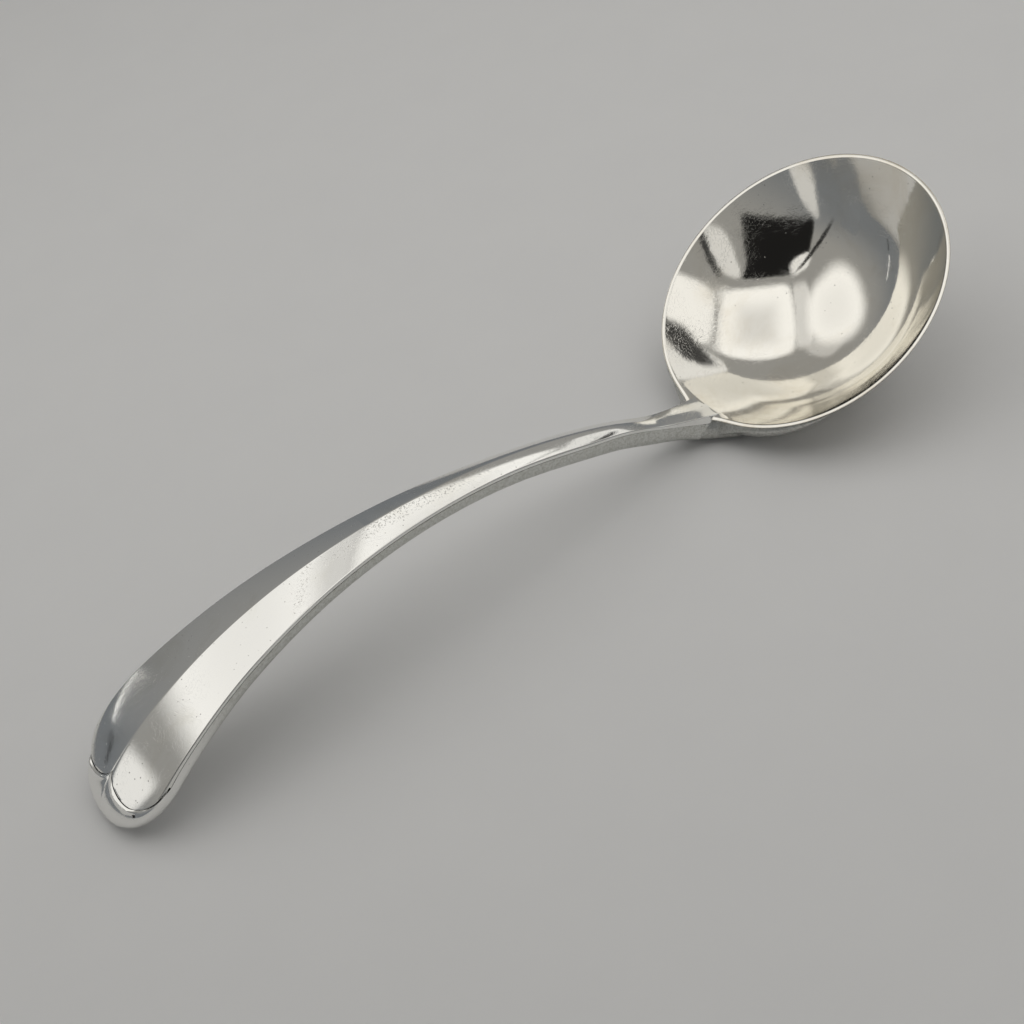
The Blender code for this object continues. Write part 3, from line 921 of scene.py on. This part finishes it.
# %% Hairline scratches
scratch_group, nodes, given, result = new_group(
    "hairline scratches", {"Turn": 0.4, "Spacing": 900.0, "Amount": 0.12}, ["Scratch"]
)
links = scratch_group.links
where = nodes.new("ShaderNodeTexCoord")
lines = []
for k, lean in enumerate((0.0, 0.9, 1.9)):
    angle = maths(nodes, links, "ADD", given.outputs["Turn"], lean)
    turned = add(nodes, "ShaderNodeVectorRotate", rotation_type="EULER_XYZ")
    joined = nodes.new("ShaderNodeCombineXYZ")
    links.new(angle, joined.inputs["Z"])
    joined.inputs["X"].default_value = 0.25 * k
    links.new(where.outputs["Object"], turned.inputs["Vector"])
    links.new(joined.outputs["Vector"], turned.inputs["Rotation"])
    drawn = add(nodes, "ShaderNodeVectorMath", operation="MULTIPLY")
    drawn.inputs[1].default_value = (0.03, 1.0, 1.0)
    links.new(turned.outputs["Vector"], drawn.inputs[0])
    hair = add(nodes, "ShaderNodeTexNoise", Detail=1.0, Roughness=0.5)
    links.new(drawn.outputs["Vector"], hair.inputs["Vector"])
    links.new(given.outputs["Spacing"], hair.inputs["Scale"])
    off = maths(nodes, links, "SUBTRACT", hair.outputs["Fac"], 0.5)
    away = maths(nodes, links, "ABSOLUTE", off)
    line = nodes.new("ShaderNodeMapRange")
    line.inputs["From Min"].default_value = 0.012
    line.inputs["From Max"].default_value = 0.0
    links.new(away, line.inputs["Value"])
    patch = add(nodes, "ShaderNodeTexNoise", Scale=70.0 + 23.0 * k, Detail=2.0)
    links.new(where.outputs["Object"], patch.inputs["Vector"])
    here = ramp(nodes, links, patch.outputs["Fac"], 0.48, 0.68)
    lines.append(maths(nodes, links, "MULTIPLY", line.outputs["Result"], here))
two = maths(nodes, links, "MAXIMUM", lines[0], lines[1])
every = maths(nodes, links, "MAXIMUM", two, lines[2])
scaled = maths(nodes, links, "MULTIPLY", every, given.outputs["Amount"])
links.new(scaled, result.inputs["Scratch"])
print("made", scratch_group.name)

# %% [markdown]
# ### Pits and scuffs
#
# Pits are tiny round holes in the plate. Voronoi cells suit them: the distance to each cell's
# point draws a round dot, and the cell's own colour picks the few that stay. Scuffs belong to
# one place. The stem is knocked beside its ridge, and one rub runs across it, so two soft masks
# in the ladle's own coordinates say where, and a fine noise breaks them up into small marks.

# %% Pits
pit_group, nodes, given, result = new_group(
    "small pits", {"Scale": 760.0, "Size": 0.17, "Share": 0.5}, ["Pit"]
)
links = pit_group.links
where = nodes.new("ShaderNodeTexCoord")
cells = add(nodes, "ShaderNodeTexVoronoi", Randomness=1.0)
links.new(where.outputs["Object"], cells.inputs["Vector"])
links.new(given.outputs["Scale"], cells.inputs["Scale"])
dot = nodes.new("ShaderNodeMapRange")
links.new(cells.outputs["Distance"], dot.inputs["Value"])
links.new(given.outputs["Size"], dot.inputs["From Min"])
links.new(maths(nodes, links, "MULTIPLY", given.outputs["Size"], 0.4), dot.inputs["From Max"])
chosen = nodes.new("ShaderNodeSeparateColor")
links.new(cells.outputs["Color"], chosen.inputs["Color"])
kept = maths(nodes, links, "LESS_THAN", chosen.outputs["Red"], given.outputs["Share"])
links.new(maths(nodes, links, "MULTIPLY", dot.outputs["Result"], kept), result.inputs["Pit"])
print("made", pit_group.name)

# %% Scuffs
scuff_group, nodes, given, result = new_group("ridge scuffs", {"Scale": 1900.0}, ["Scuff"])
links = scuff_group.links
where = nodes.new("ShaderNodeTexCoord")
axes = nodes.new("ShaderNodeSeparateXYZ")
links.new(where.outputs["Object"], axes.inputs["Vector"])
x, y = axes.outputs["X"], axes.outputs["Y"]


def between(source, start, full, still, end):
    """A mask that rises from start to full and falls again from still to end."""
    rise = ramp(nodes, links, source, start, full)
    return maths(nodes, links, "MULTIPLY", rise, ramp(nodes, links, source, end, still))


along = between(x, -0.070, -0.060, -0.030, -0.010)
beside = between(y, -0.0046, -0.0026, -0.0008, 0.0002)
leaning = maths(nodes, links, "MULTIPLY_ADD", y, -1.07, x)
away = maths(nodes, links, "ABSOLUTE", maths(nodes, links, "ADD", leaning, 0.0674))
on_line = ramp(nodes, links, away, 0.0030, 0.0008)
across = between(y, -0.0105, -0.0080, -0.0008, 0.0002)
long_mark = maths(nodes, links, "MULTIPLY", along, beside)
cross_mark = maths(nodes, links, "MULTIPLY", on_line, across)
place_mask = maths(nodes, links, "MAXIMUM", long_mark, cross_mark)
rub = add(nodes, "ShaderNodeTexNoise", Detail=4.0, Roughness=0.6)
links.new(where.outputs["Object"], rub.inputs["Vector"])
links.new(given.outputs["Scale"], rub.inputs["Scale"])
rubbed = ramp(nodes, links, rub.outputs["Fac"], 0.55, 0.70)
links.new(maths(nodes, links, "MULTIPLY", place_mask, rubbed), result.inputs["Scuff"])
print("made", scuff_group.name)

# %% [markdown]
# ### One metal, four plates
#
# The same plate has worn differently on each piece. The bowl is wiped most, so it is clean and
# a little warm. The front is polished too, with more pits and the scuffs. The side walls of the
# back and the heel were never polished as hard: they are greyer and finely mottled, and only
# the nose is rubbed bright. Four materials could be drawn by hand. One function with a few
# values is shorter, and keeps them one metal.

# %% Parts of the silver material
def place_group(nodes, tree, **values):
    """Places a group in a material with its own values and gives its output."""
    node = nodes.new("ShaderNodeGroup")
    node.node_tree = tree
    for label, value in values.items():
        node.inputs[label].default_value = value
    return node.outputs[0]


def mix_colour(nodes, links, factor, first, second):
    """Goes from the first colour or socket to the second as the factor goes from 0 to 1."""
    node = add(nodes, "ShaderNodeMix", data_type="RGBA")
    links.new(factor, node.inputs[0])
    for socket, value in ((node.inputs[6], first), (node.inputs[7], second)):
        if isinstance(value, tuple):
            socket.default_value = (*value, 1.0)
        else:
            links.new(value, socket)
    return node.outputs[2]


def worn_height(nodes, links, where, wave, marks):
    """Soft waves and a fine grain, less the depth of each mark."""
    swell = add(nodes, "ShaderNodeTexNoise", Scale=85.0, Detail=2.0, Roughness=0.45)
    grain = add(nodes, "ShaderNodeTexNoise", Scale=850.0, Detail=3.0, Roughness=0.55)
    for noise in (swell, grain):
        links.new(where, noise.inputs["Vector"])
    height = maths(nodes, links, "MULTIPLY", swell.outputs["Fac"], wave)
    for mark, depth in marks:
        cut = maths(nodes, links, "MULTIPLY", mark, depth)
        height = maths(nodes, links, "SUBTRACT", height, cut)
    return maths(nodes, links, "MULTIPLY_ADD", grain.outputs["Fac"], 0.006, height)


print("parts of the silver material ready")

# %% Silver material
CLEAN = (0.88, 0.875, 0.85)
PIT_DARK = (0.30, 0.28, 0.24)
HAIR_DEPTH = 0.03
PIT_DEPTH = 0.02
SCUFF_DEPTH = 0.025


def silver_plate(
    name, clean, film, rough, clouds, film_rough, scratch, pits, wave, scuffed=False, buffed=None
):
    """Polished plate: a clean colour under a film of tarnish, with scratches, pits and waves."""
    material = bpy.data.materials.new(name)
    material.use_nodes = True
    nodes, links = material.node_tree.nodes, material.node_tree.links
    shader = nodes["Principled BSDF"]
    shader.inputs["Metallic"].default_value = 1.0
    where = nodes.new("ShaderNodeTexCoord").outputs["Object"]
    scale, start, end = clouds
    cloud = place_group(nodes, tarnish_group, Scale=scale, Start=start, End=end)
    hair = place_group(nodes, scratch_group, Amount=scratch)
    pit = spots = place_group(nodes, pit_group, Share=pits)
    depths = [(hair, HAIR_DEPTH), (pit, PIT_DEPTH)]
    if scuffed:
        scuff = place_group(nodes, scuff_group)
        spots = maths(nodes, links, "MAXIMUM", pit, scuff)
        depths.append((scuff, SCUFF_DEPTH))
    spots = maths(nodes, links, "MULTIPLY", spots, 0.5)

    tone = mix_colour(nodes, links, cloud, clean, film)
    matt = maths(nodes, links, "MULTIPLY_ADD", cloud, film_rough, rough)
    if buffed:
        axes = nodes.new("ShaderNodeSeparateXYZ")
        links.new(where, axes.inputs["Vector"])
        worn = ramp(nodes, links, axes.outputs["X"], *buffed)
        tone = mix_colour(nodes, links, worn, CLEAN, tone)
        less = maths(nodes, links, "MULTIPLY_ADD", worn, 0.6, 0.4)
        matt = maths(nodes, links, "MULTIPLY", matt, less)
    tone = mix_colour(nodes, links, spots, tone, PIT_DARK)
    links.new(tone, shader.inputs["Base Color"])

    marks = maths(nodes, links, "MULTIPLY_ADD", spots, 0.3, hair)
    links.new(maths(nodes, links, "ADD", matt, marks), shader.inputs["Roughness"])
    bump = add(nodes, "ShaderNodeBump", Strength=1.0, Distance=0.001)
    links.new(worn_height(nodes, links, where, wave, depths), bump.inputs["Height"])
    links.new(bump.outputs["Normal"], shader.inputs["Normal"])
    return material


print("a clean plate has the colour", CLEAN)

# %% Four finishes
bowl_finish = silver_plate(
    "bowl plate", (0.90, 0.88, 0.825), (0.78, 0.73, 0.63), 0.05, (34.0, 0.48, 0.80), 0.07,
    scratch=0.10, pits=0.08, wave=0.04,
)
front_finish = silver_plate(
    "front plate", CLEAN, (0.78, 0.765, 0.71), 0.07, (40.0, 0.48, 0.80), 0.07,
    scratch=0.14, pits=0.30, wave=0.015, scuffed=True,
)
back_finish = silver_plate(
    "worn plate", (0.66, 0.665, 0.64), (0.50, 0.50, 0.465), 0.17, (1500.0, 0.40, 0.64), 0.10,
    scratch=0.12, pits=0.14, wave=0.02, buffed=(-0.128, -0.098),
)
heel_finish = silver_plate(
    "dull plate", (0.56, 0.56, 0.535), (0.42, 0.42, 0.39), 0.30, (1500.0, 0.40, 0.66), 0.10,
    scratch=0.10, pits=0.10, wave=0.02,
)
finishes = ((bowl, bowl_finish), (front, front_finish), (back, back_finish), (heel, heel_finish))
for piece, finish in finishes:
    piece.data.materials.clear()
    piece.data.materials.append(finish)
print("finishes:", [finish.name for piece, finish in finishes])

# %% [markdown]
# ## Table, light and surroundings
#
# A polished bowl is a picture of the room, so the room is built with care. It is a white light
# tent on a pale table: soft glowing patches where lamps stand behind the cloth, a dark opening
# for the camera, thin dark seams, and grey cloth everywhere else. Area lamps could stand for
# the patches, but their edges are hard, and cloth fades softly at its edge. So each patch is a
# fine grid with three values on its points, how bright it is, how much it covers and its tint,
# and one material reads them. The corners are given as directions seen from the bowl. Three
# small cards stand close by, as in a studio, and are seen only in the polish.

# %% Table
TABLE_RADIUS = 3.0

bm = bmesh.new()
bmesh.ops.create_circle(bm, cap_ends=True, segments=96, radius=TABLE_RADIUS)
mesh = bpy.data.meshes.new("table")
bm.to_mesh(mesh)
bm.free()
table = bpy.data.objects.new("table", mesh)
scene.collection.objects.link(table)
table_finish = bpy.data.materials.new("pale table")
table_finish.use_nodes = True
nodes, links = table_finish.node_tree.nodes, table_finish.node_tree.links
shader = nodes["Principled BSDF"]
shader.inputs["Roughness"].default_value = 0.85
shader.inputs["Specular IOR Level"].default_value = 0.2
where = nodes.new("ShaderNodeTexCoord")
grain = add(nodes, "ShaderNodeTexNoise", Scale=35.0, Detail=3.0)
links.new(where.outputs["Object"], grain.inputs["Vector"])
tone = mix_colour(nodes, links, grain.outputs["Fac"], (0.84, 0.84, 0.845), (0.87, 0.87, 0.872))
links.new(tone, shader.inputs["Base Color"])
mesh.materials.append(table_finish)
print("table radius", TABLE_RADIUS, "m")

# %% Tent cloth
BOWL_AT = Vector((0.11, 0.0, 0.015))
TENT = 0.9
WARM = (1.0, 0.985, 0.95)
COOL = (0.93, 0.98, 1.03)

cloth = bpy.data.materials.new("glowing cloth")
cloth.use_nodes = True
nodes, links = cloth.node_tree.nodes, cloth.node_tree.links
nodes.clear()
glow = add(nodes, "ShaderNodeAttribute", attribute_name="glow")
cover = add(nodes, "ShaderNodeAttribute", attribute_name="cover")
tint = add(nodes, "ShaderNodeAttribute", attribute_name="tint")
light = nodes.new("ShaderNodeEmission")
clear = nodes.new("ShaderNodeBsdfTransparent")
blend = nodes.new("ShaderNodeMixShader")
links.new(tint.outputs["Color"], light.inputs["Color"])
links.new(glow.outputs["Fac"], light.inputs["Strength"])
links.new(cover.outputs["Fac"], blend.inputs["Fac"])
links.new(clear.outputs["BSDF"], blend.inputs[1])
links.new(light.outputs["Emission"], blend.inputs[2])
links.new(blend.outputs["Shader"], nodes.new("ShaderNodeOutputMaterial").inputs["Surface"])
print("cloth hangs", TENT, "m from the bowl")

# %% Tent cards
CARD_GRID = 24


def toward(azimuth, elevation):
    """A direction from two angles in degrees."""
    a, e = math.radians(azimuth), math.radians(elevation)
    return Vector((math.cos(a) * math.cos(e), math.sin(a) * math.cos(e), math.sin(e)))


def step(value, low, high):
    """A smooth step from 0 to 1."""
    k = min(max((value - low) / (high - low), 0.0), 1.0)
    return k * k * (3.0 - 2.0 * k)


def tent_card(name, corners, level, soft, power=6.0, ring=0.0, distance=TENT, shade=WARM):
    """A patch of cloth between four directions, with soft edges and perhaps a dimmer middle."""
    points = [BOWL_AT + distance * toward(*corner) for corner in corners]
    bm = bmesh.new()
    bmesh.ops.create_grid(bm, x_segments=CARD_GRID, y_segments=CARD_GRID, size=1.0)
    glows, covers = [], []
    for vert in bm.verts:
        a, b = vert.co.x, vert.co.y
        out = (abs(a) ** power + abs(b) ** power) ** (1.0 / power)
        covers.append(1.0 - step(out, 1.0 - soft, 1.0))
        glows.append(level * (1.0 - ring * (1.0 - step(out, 0.15, 0.75))))
        low = points[0].lerp(points[1], 0.5 * (a + 1.0))
        high = points[3].lerp(points[2], 0.5 * (a + 1.0))
        vert.co = low.lerp(high, 0.5 * (b + 1.0))
    mesh = bpy.data.meshes.new(name)
    bm.to_mesh(mesh)
    bm.free()
    for label, values in (("glow", glows), ("cover", covers)):
        mesh.attributes.new(label, "FLOAT", "POINT").data.foreach_set("value", values)
    tints = mesh.attributes.new("tint", "FLOAT_COLOR", "POINT")
    tints.data.foreach_set("color", [*shade, 1.0] * len(glows))
    mesh.materials.append(cloth)
    card = bpy.data.objects.new(name, mesh)
    card.visible_camera = False
    scene.collection.objects.link(card)
    return card


print("a tent card is a grid of", CARD_GRID ** 2, "faces")

# %% Glowing patches
tent_card("roof_glow", ((-73, 50.5), (-154.5, 59.5), (72, 58), (9, 42)), 1.0, 0.13, 7.0, 0.25)
tent_card("left_glow", ((-170, 63), (172, 25), (94, 22), (78, 62)), 1.0, 0.4, 2.6, 0.10)
tent_card("left_cloth", ((-152, 61), (-172, 54), (82, 53), (70, 60)), 0.7, 0.3, 6.0, distance=0.93)
tent_card(
    "left_low_glow", ((102, 36), (80, 36), (74, 60), (100, 62)),
    0.55, 0.4, 3.0, distance=0.92,
)
tent_card("right_glow", ((-58, 41.5), (-72, 52), (6, 45), (-8, 44)), 0.95, 0.2, 5.0, distance=0.93)
tent_card("front_glow", ((-99, 34), (-112, 35), (-92, 53.5), (-80, 51)), 0.7, 0.3, 5.0)
tent_card(
    "corner_glow", ((-146, 47), (-168, 35), (-172, 49), (-153, 61)),
    0.8, 0.3, 2.6, distance=0.68,
)
tent_card("side_glow", ((-153, 3), (-171, 4), (-169, 18), (-158, 18)), 0.6, 0.4, 4.0)
tent_card("low_glow", ((-10, 26), (30, 24), (25, 38.5), (-18, 48)), 0.8, 0.12, 7.0, distance=0.94)
tent_card("batten", ((122.6, 15.9), (132.2, 7.8), (132.4, 8.0), (122.8, 16.1)), 3.5, 0.3, 8.0)
print("ten patches glow")

# %% Opening and seams
tent_card(
    "opening", ((-123, 29.5), (-165, 16), (-167, 53), (-91, 53)),
    0.012, 0.05, 12.0, distance=0.84,
)
tent_card(
    "left_seam", ((-103.5, 34), (-99, 34), (-73, 52), (-77.5, 53)),
    0.03, 0.5, 4.0, distance=0.82,
)
tent_card(
    "right_seam", ((179, 11), (-177, 11), (-152, 58), (-156, 58.5)),
    0.02, 0.5, 4.0, distance=0.66,
)
tent_card(
    "roof_seam", ((-156, 60), (-153, 60), (136, 76.5), (140, 77.5)),
    0.10, 0.6, 3.0, distance=0.82,
)
tent_card(
    "roof_seam_end", ((136, 76.5), (140, 77.5), (74, 62), (70, 61)),
    0.42, 0.6, 3.0, distance=0.82,
)
tent_card(
    "front_seam", ((-72, 51.8), (8, 44.0), (8, 44.8), (-72, 52.6)),
    0.22, 0.5, 4.0, distance=0.82,
)
tent_card("batten_shade", ((132.6, 7.6), (138.0, 2.7), (138.7, 3.3), (133.3, 8.2)), 0.02, 0.4, 8.0)
print("an opening and its seams")

# %% Cards near the ladle
near_cards = (
    tent_card(
        "nose_card", ((172.2, 1.2), (161.2, 1.2), (161.2, 15.8), (172.2, 15.8)),
        0.85, 0.5, 2.6, distance=0.402,
    ),
    tent_card(
        "nose_flag", ((170.5, 5), (156.5, 5), (156.5, 21.5), (170.5, 21.5)),
        0.19, 0.1, 8.0, distance=0.159, shade=COOL,
    ),
    tent_card(
        "lip_flag", ((-17, 49.0), (28, 34.5), (28, 37.5), (-17, 54.0)),
        0.04, 0.4, 4.0, distance=0.25,
    ),
)
for card in near_cards:
    card.visible_shadow = False
    card.visible_diffuse = False
print("three small cards close by, seen only in the polish")

# %% Room
world = bpy.data.worlds.new("room")
scene.world = world
world.use_nodes = True
nodes, links = world.node_tree.nodes, world.node_tree.links
where = nodes.new("ShaderNodeTexCoord")
parts = nodes.new("ShaderNodeSeparateXYZ")
links.new(where.outputs["Generated"], parts.inputs["Vector"])
high = ramp(nodes, links, parts.outputs["Z"], 0.10, 0.55)
shade = mix_colour(nodes, links, high, (0.17, 0.18, 0.19), (0.30, 0.295, 0.28))
links.new(shade, nodes["Background"].inputs["Color"])
scene.view_settings.view_transform = "Standard"
print("the room is grey cloth")

# %% [markdown]
# ## Hand over
#
# Each new skin rides on the model's only body and stands for its CAD node, which is hidden.

# %% Ride and replace
for piece, node, slot in (
    (bowl, "bowl", "bowl_metal"),
    (heel, "heel", "heel_metal"),
    (front, "handle_front", "front_metal"),
    (back, "handle_back", "back_metal"),
):
    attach(piece, "root")
    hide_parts(node)
